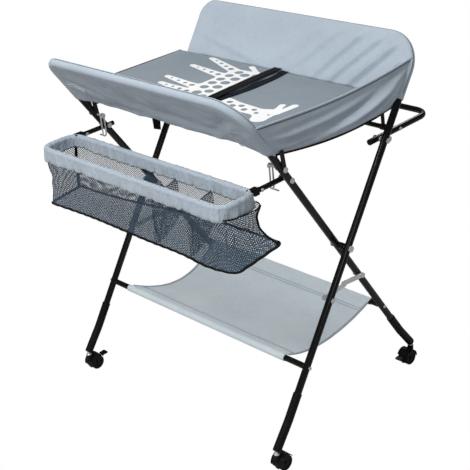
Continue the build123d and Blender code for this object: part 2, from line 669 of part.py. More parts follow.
# --- towel rack ---------------------------------------------------------------------------------
with BuildPart() as towel_rack:
    with BuildLine(Plane.XY.offset(ARM_Z)) as rack_line:
        FilletPolyline(
            (-RACK_X, RACK_INNER_Y),
            (-RACK_X, RACK_BACK_Y),
            (RACK_X, RACK_BACK_Y),
            (RACK_X, RACK_INNER_Y),
            radius=RACK_CORNER_R,
        )
    with BuildSketch(Plane(origin=rack_line.line @ 0, z_dir=rack_line.line % 0)):
        Circle(RACK_R)
        Circle(RACK_R - 1.2, mode=Mode.SUBTRACT)
    sweep()
    cross_holes([(side * RACK_X, RACK_PIVOT_Y, ARM_Z) for side in SIDES.values()],
                PIN_R + RUN_GAP, 24)
    cross_holes([(side * RACK_X, RACK_STUD_Y, ARM_Z) for side in SIDES.values()],
                STUD_R + RUN_GAP, 24)
save(towel_rack.part, "towel_rack")

with BuildPart() as rack_studs:
    rivet_group([
        (side * (RACK_X - RACK_R - 0.2), side * (RACK_X + RACK_R + 0.2), RACK_STUD_Y, ARM_Z)
        for side in SIDES.values()
    ], STUD_R, STUD_HEAD_R, STUD_HEAD_H)
save(rack_studs.part, "rack_studs")

# a latch plate on each outer leg stands beside the rack's arm
with BuildPart() as rack_latches:
    for side in SIDES.values():
        flat_link(low_face(side, RACK_LATCH_X, 2.5), (RACK_PIVOT_Y, ARM_Z), RACK_LATCH_TIP,
                  RACK_LATCH_W, 2.5, PIN_R + RUN_GAP)
save(rack_latches.part, "rack_latches")

with BuildPart() as rack_caps:
    for side in SIDES.values():
        round_bar((side * RACK_X, RACK_INNER_Y - 3, ARM_Z), (side * RACK_X, RACK_INNER_Y, ARM_Z),
                  RACK_R)
        round_bar((side * RACK_X, RACK_INNER_Y, ARM_Z), (side * RACK_X, RACK_INNER_Y + 9, ARM_Z),
                  RACK_R - 1.25)
save(rack_caps.part, "rack_caps")
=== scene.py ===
import math
from math import cos, pi, radians, sin

import bmesh
import bpy
from mathutils import Matrix, Vector, noise
from mathutils.bvhtree import BVHTree


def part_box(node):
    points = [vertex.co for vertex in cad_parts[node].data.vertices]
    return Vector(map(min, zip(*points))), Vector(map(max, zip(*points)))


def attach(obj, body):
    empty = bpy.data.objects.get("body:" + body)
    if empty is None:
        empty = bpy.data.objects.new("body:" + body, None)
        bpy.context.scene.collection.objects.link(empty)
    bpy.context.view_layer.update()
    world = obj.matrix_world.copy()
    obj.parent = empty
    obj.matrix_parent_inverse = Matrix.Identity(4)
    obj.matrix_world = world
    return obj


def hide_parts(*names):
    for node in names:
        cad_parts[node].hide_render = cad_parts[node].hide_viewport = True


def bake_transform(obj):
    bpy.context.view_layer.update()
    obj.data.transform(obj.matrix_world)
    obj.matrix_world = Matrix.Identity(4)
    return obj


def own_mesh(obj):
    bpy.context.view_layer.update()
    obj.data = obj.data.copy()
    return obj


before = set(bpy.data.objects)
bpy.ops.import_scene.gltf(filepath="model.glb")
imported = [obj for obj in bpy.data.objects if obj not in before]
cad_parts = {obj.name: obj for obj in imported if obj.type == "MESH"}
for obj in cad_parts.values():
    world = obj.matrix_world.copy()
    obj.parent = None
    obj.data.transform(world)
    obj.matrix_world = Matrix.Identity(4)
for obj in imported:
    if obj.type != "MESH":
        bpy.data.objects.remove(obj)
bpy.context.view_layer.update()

MM = 0.001


def middle(node, axis):
    """The middle of a node's box along x, y or z, kept in double precision."""
    low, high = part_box(node)
    return (getattr(low, axis) + getattr(high, axis)) / 2


# --- places read from the frame ---
LEAN = radians(33.9)  # lean of every leg from upright
TUBE_R = 9.5 * MM
PIVOT_Z = middle("pivot_bolts", "z")
INNER_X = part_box("inner_hoop")[1].x - TUBE_R
OUTER_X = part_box("outer_hoop")[1].x - TUBE_R
CORNER_R = 85 * MM  # of the hoops' corners
TOP_S = 559 * MM  # from the pivot up to a hoop's top bar
BED_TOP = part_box("mattress")[1].z
BED_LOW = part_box("mattress")[0].z
RIM_LOW, RIM_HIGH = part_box("basket_rim")
RIM_R = 6 * MM
RIM_Z = (RIM_LOW.z + RIM_HIGH.z) / 2
SHELF_RAIL_Z = middle("outer_shelf_rail", "z")
SHELF_FRONT_Y = middle("outer_shelf_rail", "y")
SHELF_BACK_Y = middle("inner_shelf_rail", "y")
RAIL_R = 8 * MM
BACKWARD, FORWARD = 1, -1  # which way a frame leans
CALM = 30 * MM  # folds fade out this close to a tube


def on_leg(lean, s, across=0.0):
    """The y, z of a point s up a leg from the pivot and `across` towards the bed."""
    return (lean * (s * sin(LEAN) - across * cos(LEAN)), PIVOT_Z + s * cos(LEAN) + across * sin(LEAN))


def smooth(t):
    t = max(0.0, min(1.0, t))
    return t * t * (3 - 2 * t)


def mix(a, b, t):
    return a + (b - a) * t


# --- camera ---
def make_camera():
    azimuth, elevation, roll = radians(46.7), radians(26.4), radians(-5.2)
    back = Vector((sin(azimuth) * cos(elevation), -cos(azimuth) * cos(elevation), sin(elevation)))
    level = Vector((cos(azimuth), sin(azimuth), 0))
    upright = back.cross(level)
    right = level * cos(roll) + upright * sin(roll)
    up = back.cross(right)
    data = bpy.data.cameras.new("camera")
    data.lens = 82.2
    data.sensor_width = 36
    camera = bpy.data.objects.new("camera", data)
    turn = Matrix((right, up, back)).transposed().to_4x4()
    camera.matrix_world = Matrix.Translation((1.9532, -1.8661, 1.7835)) @ turn
    bpy.context.scene.collection.objects.link(camera)
    bpy.context.scene.camera = camera


# --- materials ---
WAVES = 0.314  # a wave texture of scale WAVES / p repeats every p metres


class Nodes:
    """A material's node tree with short calls for the nodes used here."""

    def __init__(self, name, roughness=0.5, metallic=0.0):
        self.material = bpy.data.materials.new(name)
        self.material.use_nodes = True
        self.tree = self.material.node_tree
        self.shader = self.tree.nodes["Principled BSDF"]
        self.shader.inputs["Roughness"].default_value = roughness
        self.shader.inputs["Metallic"].default_value = metallic

    def add(self, kind, **values):
        node = self.tree.nodes.new(kind)
        for key, value in values.items():
            if hasattr(node, key):
                setattr(node, key, value)
            else:
                node.inputs[key.replace("_", " ")].default_value = value
        return node

    def link(self, source, target):
        self.tree.links.new(source, target)

    def coords(self, kind="Object"):
        return self.add("ShaderNodeTexCoord").outputs[kind]

    def noise(self, coords, scale, detail=3.0, roughness=0.55):
        node = self.add("ShaderNodeTexNoise", Scale=scale, Detail=detail, Roughness=roughness)
        self.link(coords, node.inputs["Vector"])
        return node.outputs["Fac"]

    def wave(self, coords, scale, direction):
        node = self.add("ShaderNodeTexWave", Scale=scale, Distortion=0.0)
        node.bands_direction = direction
        self.link(coords, node.inputs["Vector"])
        return node.outputs["Fac"]

    def math(self, operation, a, b):
        node = self.tree.nodes.new("ShaderNodeMath")
        node.operation = operation
        for socket, value in zip(node.inputs, (a, b)):
            if isinstance(value, (int, float)):
                socket.default_value = value
            else:
                self.link(value, socket)
        return node.outputs[0]

    def ramp(self, factor, stops):
        node = self.add("ShaderNodeValToRGB")
        elements = node.color_ramp.elements
        while len(elements) < len(stops):
            elements.new(0.5)
        for element, (place, colour) in zip(elements, stops):
            element.position = place
            element.color = (*colour, 1)
        self.link(factor, node.inputs["Fac"])
        return node.outputs["Color"]

    def bump(self, height, strength, distance, normal=None):
        node = self.add("ShaderNodeBump", Strength=strength, Distance=distance)
        self.link(height, node.inputs["Height"])
        if normal is not None:
            self.link(normal, node.inputs["Normal"])
        return node.outputs["Normal"]

    def into(self, name, source):
        self.link(source, self.shader.inputs[name])

    def set(self, **values):
        for key, value in values.items():
            self.shader.inputs[key.replace("_", " ")].default_value = value

    def tint(self, factor, colour, low, high):
        """Colour from the factor: low and high are (place, gain)."""
        stops = [(place, shade(colour, gain)) for place, gain in (low, high)]
        self.into("Base Color", self.ramp(factor, stops))

    def range(self, factor, low, high):
        node = self.add("ShaderNodeMapRange")
        self.link(factor, node.inputs["Value"])
        node.inputs["To Min"].default_value = low
        node.inputs["To Max"].default_value = high
        return node.outputs["Result"]


def shade(colour, gain):
    return tuple(min(1.0, c * gain) for c in colour)


def painted(name, colour, rough=0.22):
    """Glossy powder coat: faint orange peel and dust-dulled patches."""
    n = Nodes(name, rough)
    where = n.coords()
    patches = n.noise(where, 9, 4)
    n.tint(patches, colour, (0.3, 0.85), (0.7, 1.25))
    n.into("Roughness", n.range(n.noise(where, 40, 3), rough - 0.06, rough + 0.1))
    n.into("Normal", n.bump(n.noise(where, 900, 2), 0.12, 0.0004))
    n.set(Specular_IOR_Level=0.3, Coat_Weight=0.25, Coat_Roughness=0.12)
    return n.material


def moulded(name, colour, rough=0.45, grain=1400):
    """Moulded plastic or rubber with a fine spark-eroded grain."""
    n = Nodes(name, rough)
    where = n.coords()
    n.tint(n.noise(where, 14, 3), colour, (0.3, 0.8), (0.75, 1.35))
    n.into("Roughness", n.range(n.noise(where, 60, 3), rough - 0.07, rough + 0.09))
    n.into("Normal", n.bump(n.noise(where, grain, 2), 0.3, 0.0003))
    n.set(Specular_IOR_Level=0.2)
    return n.material


def metal(name, colour, rough, brush=0.0, bare=1.0):
    """Plated steel: fine drawn lines when brush is set, and small stains."""
    n = Nodes(name, rough, bare)
    where = n.coords()
    n.tint(n.noise(where, 30, 4), colour, (0.25, 0.82), (0.8, 1.06))
    n.into("Roughness", n.range(n.noise(where, 80, 4), rough * 0.7, rough * 1.4))
    if brush > 0:
        stretch = n.add("ShaderNodeMapping")
        stretch.inputs["Scale"].default_value = (1, 0.04, 1)
        n.link(where, stretch.inputs["Vector"])
        n.into("Normal", n.bump(n.noise(stretch.outputs[0], 1500, 2), brush, 0.0002))
    return n.material


def cloth(name, colour, pitch=0.0011, kind="UV", rough=0.82, sheen=0.25, contrast=0.10, gathers=0.0):
    """Plain woven polyester: two thread directions, uneven dye and soft sheen."""
    n = Nodes(name, rough)
    where = n.coords(kind)
    scale = WAVES / pitch
    warp = n.wave(where, scale, "X")
    weft = n.wave(where, scale, "Y")
    weave = n.math("MULTIPLY", warp, weft)
    place = n.coords("Object")
    dye = n.noise(place, 6, 5, 0.6)
    slub = n.noise(place, 170, 3, 0.7)
    tone = n.math("ADD", n.math("MULTIPLY", dye, 0.55), n.math("MULTIPLY", slub, 0.45))
    tone = n.math("ADD", tone, n.math("MULTIPLY", weave, contrast))
    n.tint(tone, colour, (0.32, 0.88), (0.72, 1.1))
    fine = n.bump(weave, 0.35, pitch * 0.25)
    if gathers > 0:  # tucks that run down the cloth
        tall = n.add("ShaderNodeMapping")
        tall.inputs["Scale"].default_value = (1, 1, 0.28)
        n.link(place, tall.inputs["Vector"])
        fine = n.bump(n.noise(tall.outputs[0], 70, 3, 0.6), gathers, 0.010, fine)
    n.into("Normal", n.bump(n.noise(place, 38, 4, 0.6), 0.14, 0.0025, fine))
    n.set(Sheen_Weight=sheen, Sheen_Roughness=0.5)
    return n.material


def webbing(name, colour):
    """Ribbed webbing with cross threads."""
    n = Nodes(name, 0.7)
    where = n.coords("UV")
    ribs = n.wave(where, WAVES / 0.0016, "X")
    cross = n.wave(where, WAVES / 0.0028, "Y")
    weave = n.math("MULTIPLY", ribs, cross)
    n.tint(weave, colour, (0.1, 0.6), (0.9, 1.6))
    n.into("Normal", n.bump(weave, 0.35, 0.0004))
    n.set(Specular_IOR_Level=0.2)
    return n.material


def net(name, colour, pitch=0.0032, open_share=0.46):
    """Open net: see-through between its strands, which run both ways."""
    n = Nodes(name, 0.75)
    where = n.coords("UV")
    slant = n.add("ShaderNodeMapping")
    slant.inputs["Rotation"].default_value = (0, 0, radians(45))
    n.link(where, slant.inputs["Vector"])
    one = n.wave(slant.outputs[0], WAVES / pitch, "X")
    two = n.wave(slant.outputs[0], WAVES / pitch, "Y")
    strands = n.math("MAXIMUM", one, two)
    solid = n.math("GREATER_THAN", strands, open_share)
    tone = n.noise(n.coords("Object"), 20, 4)
    n.tint(tone, colour, (0.3, 0.8), (0.75, 1.25))
    n.into("Normal", n.bump(strands, 0.4, 0.0006))
    n.into("Alpha", solid)
    n.set(Sheen_Weight=0.15)
    return n.material


GREY = (0.420, 0.492, 0.562)
GREY_DARK = (0.215, 0.262, 0.305)


def make_materials():
    return {
        "tube": painted("black_powder_coat", (0.006, 0.006, 0.0065)),
        "bracket": painted("black_bracket_paint", (0.008, 0.008, 0.0085), 0.36),
        "plastic": moulded("black_moulded_plastic", (0.006, 0.006, 0.0065), 0.4),
        "rubber": moulded("black_tread", (0.009, 0.009, 0.010), 0.5, 900),
        "chrome": metal("bright_plating", (0.93, 0.93, 0.94), 0.2, bare=0.55),
        "zinc": metal("zinc_plating", (0.96, 0.96, 0.96), 0.32, 0.5, 0.4),
        "board": moulded("fibreboard", (0.36, 0.27, 0.17), 0.8, 500),
        "grey": cloth("grey_cloth", GREY),
        "band": cloth("gathered_cloth", GREY, gathers=0.75),
        "bed": cloth("bed_cloth", GREY_DARK, kind="Object"),
        "print": cloth("white_print", (0.98, 0.98, 0.98), kind="Object", contrast=0.05, sheen=0.05),
        "seam": webbing("seam_thread", (0.10, 0.12, 0.14)),
        "thread": webbing("pale_thread", (0.75, 0.80, 0.84)),
        "webbing": webbing("black_webbing", (0.006, 0.006, 0.0065)),
        "navy": webbing("navy_webbing", (0.004, 0.009, 0.020)),
        # painted light: the shelf is the panels' grey cloth, painted lighter to stand in for the light
        # falling on it
        "shelf": cloth("grey_cloth_painted_lighter", (0.79, 0.89, 1.0)),
        "net": net("basket_net", (0.026, 0.062, 0.104), 0.0050, 0.66),
        "net_fine": net("basket_net_doubled", (0.120, 0.172, 0.225), 0.0034, 0.50),
    }


# --- mesh helpers ---
def new_object(name, verts, faces, material, uvs=None):
    mesh = bpy.data.meshes.new(name)
    mesh.from_pydata([tuple(v) for v in verts], [], faces)
    if uvs is not None:
        layer = mesh.uv_layers.new(name="UVMap")
        for loop in mesh.loops:
            layer.data[loop.index].uv = uvs[loop.vertex_index]
    mesh.materials.append(material)
    mesh.polygons.foreach_set("use_smooth", [True] * len(mesh.polygons))
    piece = bpy.data.objects.new(name, mesh)
    bpy.context.scene.collection.objects.link(piece)
    return piece


def steps(columns, rows):
    """u, v from 0 to 1 at each point of a grid, row by row."""
    return [(j / columns, i / rows) for i in range(rows + 1) for j in range(columns + 1)]


def cells(columns, rows):
    """The corners of each cell of such a grid."""
    width = columns + 1
    starts = [i * width + j for i in range(rows) for j in range(columns)]
    return [(a, a + 1, a + 1 + width, a + width) for a in starts]


def below(cell, layer):
    """The same cell on a second layer of points, facing the other way."""
    return tuple(k + layer for k in cell[::-1])


def grid(name, columns, rows, place, material, size=(1.0, 1.0), wrap=False):
    """A sheet: place(u, v) gives each point. size is its extent for the UVs."""
    verts = [place(u, v) for u, v in steps(columns, rows)]
    uvs = [(u * size[0], v * size[1]) for u, v in steps(columns, rows)]
    piece = new_object(name, verts, cells(columns, rows), material, uvs)
    if wrap:
        weld(piece)
    return piece


def weld(piece, distance=1e-5):
    work = bmesh.new()
    work.from_mesh(piece.data)
    bmesh.ops.remove_doubles(work, verts=work.verts, dist=distance)
    bmesh.ops.recalc_face_normals(work, faces=work.faces)
    work.to_mesh(piece.data)
    work.free()


def thicken(piece, thickness, offset=0.0):
    modifier = piece.modifiers.new("thickness", "SOLIDIFY")
    modifier.thickness = thickness
    modifier.offset = offset


def apply_all(piece):
    """Turns the piece's modifiers into mesh."""
    graph = bpy.context.evaluated_depsgraph_get()
    mesh = bpy.data.meshes.new_from_object(piece.evaluated_get(graph))
    piece.modifiers.clear()
    piece.data = mesh


def resample(points, count, closed=False):
    """Evenly spaced points along a polyline."""
    points = [Vector(p) for p in points]
    if closed:
        points = points + [points[0]]
    lengths = [0.0]
    for a, b in zip(points, points[1:]):
        lengths.append(lengths[-1] + (b - a).length)
    out, k = [], 0
    steps = count if closed else count - 1
    for i in range(count):
        goal = lengths[-1] * i / steps
        while k < len(points) - 2 and lengths[k + 1] < goal:
            k += 1
        span = max(lengths[k + 1] - lengths[k], 1e-9)
        out.append(points[k].lerp(points[k + 1], (goal - lengths[k]) / span))
    return out


def cord_mesh(name, points, radius, material, closed=False, flat=1.0, sides=8, flat_axis=None, thin_end=1.0):
    """A round or flattened piping that follows the points; thin_end scales its last part."""
    points = [Vector(p) for p in points]
    count = len(points)
    verts, uvs, faces = [], [], []
    run = 0.0
    for i, p in enumerate(points):
        before = points[i - 1] if i > 0 or closed else p
        after = points[(i + 1) % count] if i < count - 1 or closed else p
        run += (p - points[i - 1]).length if i > 0 else 0.0
        along = (after - before).normalized()
        side = along.cross(Vector(flat_axis) if flat_axis else Vector((0.13, 0.21, 1))).normalized()
        lift = side.cross(along).normalized()
        for k in range(sides):
            angle = 2 * pi * k / sides
            r = radius * mix(1, thin_end, smooth((i / count - 0.78) / 0.1))
            verts.append(p + side * (r * cos(angle)) + lift * (r * flat * sin(angle)))
            uvs.append((radius * 2 * k / sides, run))
    rings = count if closed else count - 1
    for i in range(rings):
        for k in range(sides):
            a, b = i * sides + k, i * sides + (k + 1) % sides
            c, d = ((i + 1) % count) * sides + (k + 1) % sides, ((i + 1) % count) * sides + k
            faces.append((a, b, c, d))
    if not closed:
        faces.append(tuple(range(sides))[::-1])
        faces.append(tuple((count - 1) * sides + k for k in range(sides)))
    return new_object(name, verts, faces, material, uvs)


def dress(piece, body, slot):
    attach(piece, body)


def ripple(p, scale, seed=0.0):
    """Smooth noise about 0, from -1 to 1, at a point."""
    return noise.noise(Vector(p) * scale + Vector((seed, seed * 1.7, seed * 0.3)))


# --- padded panels over the hoops ---
SLEEVE_R = 11.5 * MM  # cloth over the hoop's tube
PANEL_MID = 8.8 * MM  # half thickness of the cloth between the tubes
LEFT_CORNER_R = 38 * MM
HEM_LIFT = 12 * MM  # the front panel's outer layer ends above its inner layer
FOLDS = {
    # (x, s) of one end, (x, s) of the other, half width, height: soft creases in the cloth
    "back": [
        ((0.215, 0.4), (0.335, 0.54), 0.0085, 0.01),
        ((0.15, 0.4), (0.285, 0.555), 0.008, 0.0082),
        ((0.09, 0.4), (0.225, 0.56), 0.009, 0.0075),
        ((0.275, 0.4), (0.375, 0.5), 0.008, 0.0092),
        ((0.02, 0.42), (0.15, 0.555), 0.0095, 0.0046),
        ((-0.05, 0.43), (0.08, 0.55), 0.0105, 0.002),
        ((-0.33, 0.46), (-0.1, 0.415), 0.01, 0.003),
        ((-0.32, 0.41), (-0.25, 0.54), 0.012, 0.002),
        ((-0.2, 0.42), (-0.11, 0.53), 0.014, 0.0018),
    ],
    "front": [
        ((0.18, 0.43), (0.3, 0.52), 0.014, 0.0026),
        ((-0.3, 0.425), (-0.05, 0.435), 0.013, 0.0026),
        ((-0.1, 0.475), (0.22, 0.45), 0.016, 0.0026),
        ((-0.34, 0.5), (-0.2, 0.47), 0.012, 0.002),
    ],
}


def crease(x, s, folds):
    """Height of the soft folds at a point of a panel."""
    total = 0.0
    for (x0, s0), (x1, s1), wide, high in folds:
        dx, ds = x1 - x0, s1 - s0
        t = ((x - x0) * dx + (s - s0) * ds) / (dx * dx + ds * ds)
        ends = smooth((t + 0.15) / 0.4) * smooth((1.15 - t) / 0.4)
        off = ((x - x0) * ds - (s - s0) * dx) / math.hypot(dx, ds)
        dip = math.exp(-((off - 1.7 * wide) / wide) ** 2)  # the hollow beside the fold
        total += high * ends * (math.exp(-(off / wide) ** 2) - 0.45 * dip)
    return total


def looseness(x, s, half, folds):
    return crease(x, s, folds) + 0.0026 * ripple((x, s, 0), 13, half * 9) + 0.0013 * ripple((x, s, 0), 42)


def hoop_inset(x, s, half, radius=CORNER_R):
    """Distance of a point inside a hoop's centre line; below zero outside it."""
    cx, cs = half - radius, TOP_S - radius
    if abs(x) > cx and s > cs:
        return radius - math.hypot(abs(x) - cx, s - cs)
    return min(half - abs(x), TOP_S - s)


def cover_radius(x):
    """The cloth is cut squarer than the tube at the left-hand corners."""
    return mix(LEFT_CORNER_R, CORNER_R, smooth((x + 0.1) / 0.2))


def panel_half_thickness(inset):
    if inset <= 0:
        return math.sqrt(max(SLEEVE_R ** 2 - inset ** 2, 0.0))
    return PANEL_MID + (SLEEVE_R - PANEL_MID) * math.exp(-(inset / (34 * MM)) ** 2)


def panel_cover(name, lean, half, low, folds, material):
    """The padded sleeve that wraps a hoop: low(x) is its lower edge, as distance from the pivot."""
    columns, rows = 190, 60
    top = TOP_S + SLEEVE_R

    def place(u, v, face):
        # u runs from side to side with finer steps at both tubes; v from bottom to top
        t = 0.5 - 0.5 * cos(pi * u)
        t = mix(u, t, 0.75)
        rise = 1 - (1 - v) ** 1.6
        x_raw = mix(-1.0, 1.0, t)
        edge = low(x_raw * half) + (HEM_LIFT if face < 0 and lean == FORWARD else 0.0)
        s = mix(edge, top, rise)
        radius = cover_radius(x_raw * half)
        outer = radius + SLEEVE_R
        over = s - (TOP_S - radius)
        width = half + SLEEVE_R
        if over > 0:
            width = half - radius + math.sqrt(max(outer ** 2 - over ** 2, 0.0))
        x = x_raw * width
        inset = hoop_inset(x, s, half, radius)
        over_tube = math.sqrt(max((TUBE_R + 1.2 * MM) ** 2 - hoop_inset(x, s, half) ** 2, 0.0))
        h = max(panel_half_thickness(inset), over_tube)
        calm = smooth(inset / CALM)
        across = face * h + looseness(x, s, half, folds) * calm
        y, z = on_leg(lean, s, across)
        return Vector((x, y, z))

    verts, uvs, faces = [], [], []
    for face in (1, -1):
        for u, v in steps(columns, rows):
            p = place(u, v, face)
            verts.append(p)
            uvs.append((p.x, math.hypot(p.y, p.z - PIVOT_Z)))
    layer = (columns + 1) * (rows + 1)
    for cell in cells(columns, rows):
        outward = cell if lean == FORWARD else cell[::-1]
        faces += [outward, below(outward, layer)]
    for j in range(columns):
        faces.append((j, j + layer, j + 1 + layer, j + 1))
    piece = new_object(name, verts, faces, material, uvs)
    weld(piece, 2e-4)
    return piece


def panel_line(lean, half, inset, across, s_low, count=160):
    """Points along a hoop-shaped line on a panel, `inset` inside the tube's centre line."""
    turns = [pi / 2 * k / 12 for k in range(13)]
    flat = [(-half + inset, s_low)]
    for side, corner_r, angles in ((-1, LEFT_CORNER_R, turns), (1, CORNER_R, turns[::-1])):
        cx, cs, radius = half - corner_r, TOP_S - corner_r, corner_r - inset
        flat += [(side * (cx + radius * cos(a)), cs + radius * sin(a)) for a in angles]
    flat += [(half - inset, s_low)]
    points = [(x, *on_leg(lean, s, across)) for x, s in flat]
    return resample(points, count)


def front_low(x):
    """Lower edge of the front panel: it dips round both legs."""
    return 0.407 - 0.006 * smooth((-x - 0.22) / 0.1) - 0.020 * smooth((x - 0.22) / 0.13)


def back_low(x):
    return 0.403 - 0.004 * smooth((abs(x) - 0.30) / 0.09)


def make_panels(mats):
    front = panel_cover("front_panel_cover", FORWARD, INNER_X, front_low, FOLDS["front"], mats["grey"])
    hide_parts("front_panel")
    back = panel_cover("back_panel_cover", BACKWARD, OUTER_X, back_low, FOLDS["back"], mats["grey"])
    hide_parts("back_panel")
    for piece, body in ((front, "inner_frame"), (back, "outer_frame")):
        dress(piece, body, "grey_cloth")
    # seams just inside the tube, on the bed side and on the outside
    for name, lean, half, low, body in (
        ("front", FORWARD, INNER_X, 0.43, "inner_frame"),
        ("back", BACKWARD, OUTER_X, 0.415, "outer_frame"),
    ):
        inset = -10.6 * MM
        line = panel_line(lean, half, inset, panel_half_thickness(inset) + 0.1 * MM, low)
        seam = cord_mesh(f"{name}_seam", line, 0.8 * MM, mats["seam"], sides=6)
        dress(seam, body, "black_webbing")


def make_corner_stitching(mats):
    """Doubled stitch lines of the reinforcing patch at the front panel's lower corners."""
    for name, side in (("left", -1), ("right", 1)):
        for k, grow in enumerate((0.0, 7 * MM)):
            outline = []
            for u, v in ((-0.075, 0.004), (-0.085, 0.05), (-0.05, 0.062), (-0.02, 0.056)):
                x = side * (INNER_X + 0.004 + u - (grow if u < -0.06 else 0))
                s = (0.402 if side > 0 else 0.416) + v + (grow if v > 0.04 else 0)
                outline.append((x, s, 0))
            line = []
            for x, s, _ in resample(outline, 40):
                inset = hoop_inset(x, s, INNER_X)
                calm = smooth(inset / CALM)
                h = panel_half_thickness(inset) + 0.4 * MM
                line.append((x, *on_leg(FORWARD, s, looseness(x, s, INNER_X, FOLDS["front"]) * calm - h)))
            stitch = cord_mesh(f"corner_stitch_{name}_{k}", line, 0.7 * MM, mats["thread"], sides=5)
            dress(stitch, "inner_frame", "grey_cloth")


# --- mattress ---
PAD_LEFT = -0.424
PAD_RIGHT = 0.3335
PAD_FRONT = -0.2035
PAD_BACK = 0.223
PAD_SPLIT = -0.334


def bed_block():
    """The closed form the pad is blown up from: thin at the overhang, thick over the board."""
    columns, rows = 110, 60

    def place(u, v, top):
        x = mix(PAD_LEFT, PAD_RIGHT, u)
        y = mix(PAD_FRONT + 0.004, PAD_BACK - 0.004, v)
        edge = min(v, 1 - v, u, 1 - u)
        full = mix(0.007, BED_TOP - BED_LOW - 0.003, smooth(v / 0.12) * smooth((1 - v) / 0.06))
        thick = mix(0.008, full, smooth((x - PAD_SPLIT + 0.02) / 0.05))
        z = BED_TOP - 0.003 - 0.004 * (1 - smooth(edge / 0.035))
        return Vector((x, y, z if top else z - thick))

    verts = [place(u, v, top) for top in (True, False) for u, v in steps(columns, rows)]
    faces = []
    width = columns + 1
    layer = width * (rows + 1)
    for cell in cells(columns, rows):
        faces += [cell, below(cell, layer)]
    for j in range(columns):
        faces.append((j, j + layer, j + 1 + layer, j + 1))
        a = rows * width + j
        faces.append((a + 1, a + 1 + layer, a + layer, a))
    for i in range(rows):
        a = i * width
        faces.append((a + width, a + width + layer, a + layer, a))
        a = i * width + columns
        faces.append((a, a + layer, a + width + layer, a + width))
    return verts, faces


def inflate(piece, frames, pressure, cap):
    """Blows the closed piece up with cloth pressure and caps how far any point moves."""
    rest = [v.co.copy() for v in piece.data.vertices]
    modifier = piece.modifiers.new("cloth", "CLOTH")
    settings = modifier.settings
    settings.effector_weights.gravity = 0
    for key, value in (("use_pressure", True), ("uniform_pressure_force", pressure), ("quality", 5),
                       ("tension_stiffness", 40), ("compression_stiffness", 20), ("bending_stiffness", 3)):
        setattr(settings, key, value)
    scene = bpy.context.scene
    scene.frame_start, scene.frame_end = 1, frames
    modifier.point_cache.frame_start, modifier.point_cache.frame_end = 1, frames
    for step in range(1, frames + 1):
        scene.frame_set(step)
    graph = bpy.context.evaluated_depsgraph_get()
    moved = [v.co.copy() for v in piece.evaluated_get(graph).data.vertices]
    piece.modifiers.remove(modifier)
    scene.frame_set(1)
    for vertex, old, new in zip(piece.data.vertices, rest, moved):
        step = new - old
        if step.length > cap:
            step = step.normalized() * cap
        vertex.co = old + step


def make_mattress(mats):
    verts, faces = bed_block()
    piece = new_object("mattress_pad", verts, faces, mats["bed"])
    weld(piece)
    remesh = piece.modifiers.new("remesh", "REMESH")
    remesh.mode = "VOXEL"
    remesh.voxel_size = 0.004
    apply_all(piece)
    inflate(piece, 14, 2.5, 0.003)
    softened = piece.modifiers.new("soften", "SMOOTH")
    softened.iterations = 6
    apply_all(piece)
    piece.data.materials.clear()
    piece.data.materials.append(mats["bed"])
    for vertex in piece.data.vertices:
        x, y, z = vertex.co
        inner = smooth(min(x - PAD_LEFT, PAD_RIGHT - x, y - PAD_FRONT, PAD_BACK - y) / 0.04)
        if z > BED_TOP - 0.012:
            vertex.co.z += inner * (0.0012 * ripple((x, y, 0), 9, 2.0) + 0.0006 * ripple((x, y, 0), 26, 5.0))
    piece.data.polygons.foreach_set("use_smooth", [True] * len(piece.data.polygons))
    # the overhang crumples when the table folds, so it is a piece of its own
    flap = piece.copy()
    flap.data = piece.data.copy()
    flap.name = "mattress_overhang"
    bpy.context.scene.collection.objects.link(flap)
    for part, keep_right in ((piece, True), (flap, False)):
        work = bmesh.new()
        work.from_mesh(part.data)
        geometry = work.verts[:] + work.edges[:] + work.faces[:]
        bmesh.ops.bisect_plane(work, geom=geometry, plane_co=(PAD_SPLIT, 0, 0), plane_no=(1, 0, 0),
                               clear_inner=keep_right, clear_outer=not keep_right)
        work.to_mesh(part.data)
        work.free()
    return piece, flap


def surface_finder(*pieces):
    """Height of the highest surface of the pieces above a point."""
    trees = []
    for piece in pieces:
        trees.append(BVHTree.FromPolygons([v.co.copy() for v in piece.data.vertices],
                                          [tuple(p.vertices) for p in piece.data.polygons]))

    def height(x, y, default=BED_TOP):
        hits = [tree.ray_cast(Vector((x, y, BED_TOP + 0.05)), Vector((0, 0, -1)))[0] for tree in trees]
        zs = [h.z for h in hits if h is not None]
        return max(zs) if zs else default

    return height


# --- printed animal ---
# A plain long-necked animal of rounded forms, lying along the pad. In metres on the pad: capsules
# are (x, y, x, y, radius at each end), spots are (x, y, radius).
BODY_FORMS = [
    (-0.078, -0.005, -0.085, 0.118, 0.045, 0.043),
    (-0.060, -0.048, 0.045, -0.060, 0.042, 0.028),
    (0.045, -0.060, 0.180, -0.066, 0.027, 0.021),
]
LEG_FORMS = [
    (-0.105, 0.138, -0.260, 0.192, 0.018, 0.009),
    (-0.105, 0.092, -0.264, 0.118, 0.018, 0.009),
    (-0.100, -0.012, -0.256, 0.012, 0.018, 0.009),
    (-0.075, -0.052, -0.230, -0.036, 0.018, 0.009),
]
HEAD_FORMS = [
    (0.188, -0.062, 0.200, -0.100, 0.029, 0.022),
    (0.214, -0.046, 0.216, 0.018, 0.007, 0.010),
    (0.200, -0.040, 0.186, 0.004, 0.006, 0.009),
    (-0.068, 0.140, -0.046, 0.158, 0.006, 0.006),
    (-0.046, 0.158, -0.100, 0.192, 0.006, 0.009),
]
